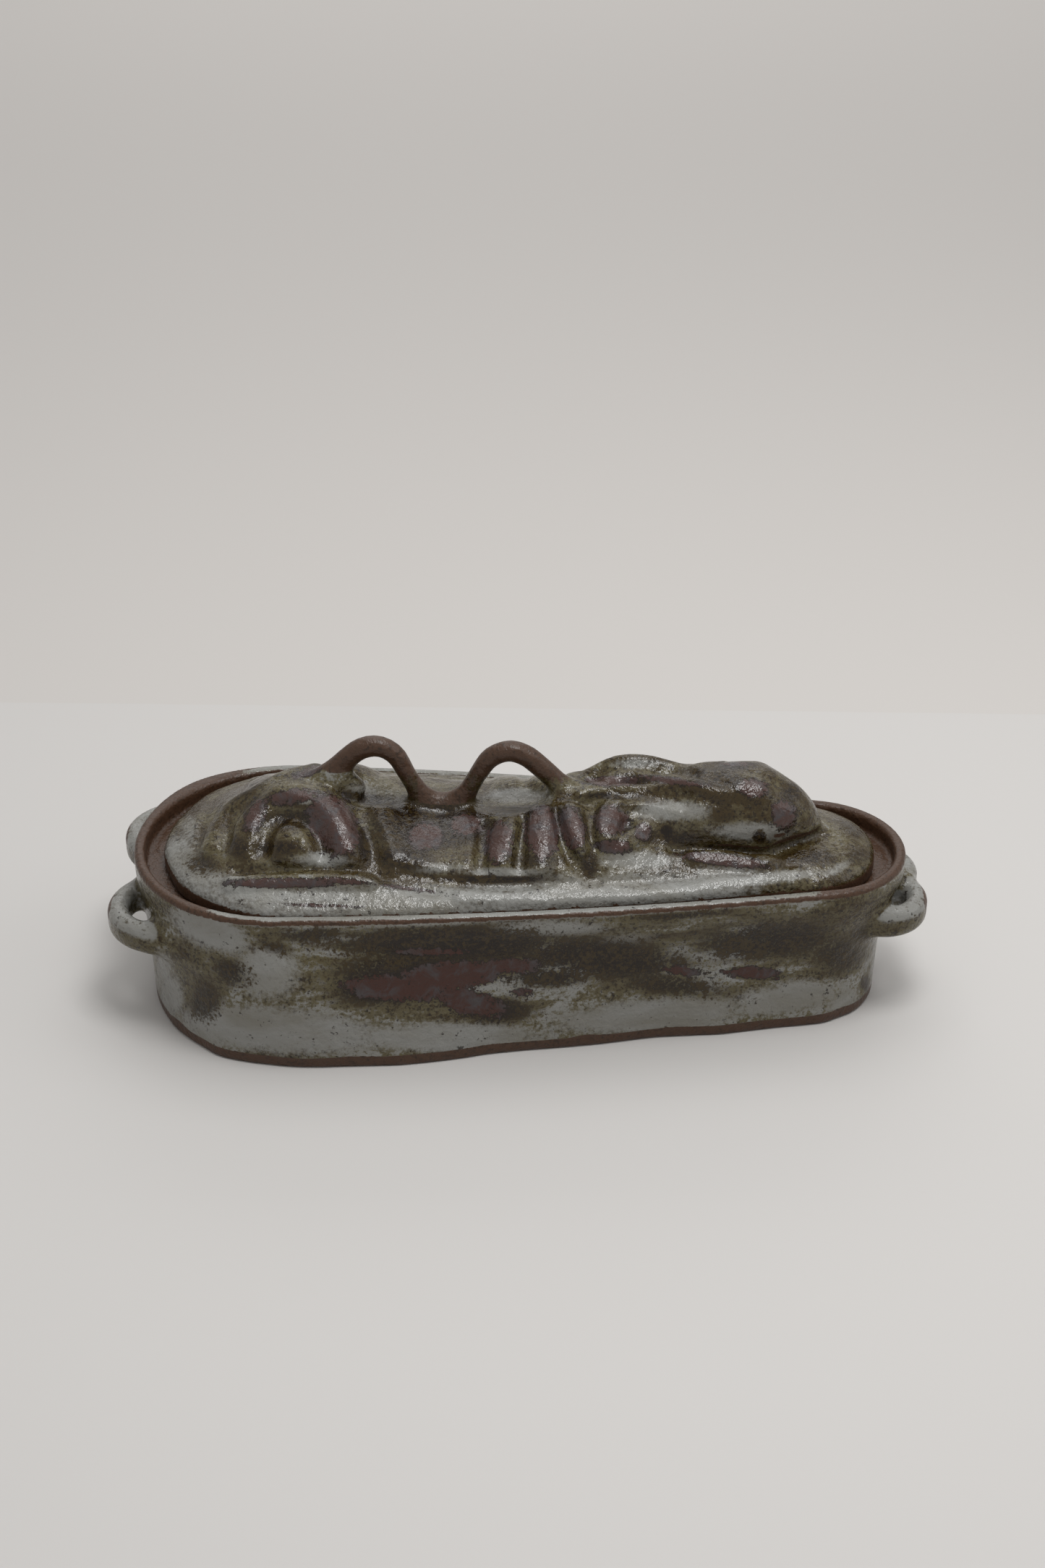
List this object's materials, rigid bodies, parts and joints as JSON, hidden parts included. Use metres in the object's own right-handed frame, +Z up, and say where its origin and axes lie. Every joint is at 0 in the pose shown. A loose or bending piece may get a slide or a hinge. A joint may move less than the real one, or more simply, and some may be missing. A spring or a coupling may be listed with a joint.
{
  "type": "casserole dish",
  "caption": "Lidded oval stoneware casserole dish with a hare carved on the lid, a bent coil handle on its back and strap lugs at both ends.",
  "frame": {"origin": "on the table, under the middle of the dish's overall length and width", "axes": "+Z up, +X along the dish towards the hare's head and the narrow end, +Y towards the back"},
  "size_m": [0.3798, 0.1599, 0.1277],
  "materials": {
    "dish_glaze": "mottled grey and brown glaze over iron stoneware, bare brown at rim, gallery and foot",
    "lid_glaze": "mottled grey glaze pooled olive brown in the carving, purple brown where it breaks"
  },
  "bodies": {
    "root": {"dish": "dish_glaze", "lid": "lid_glaze"}
  },
  "joints": []
}
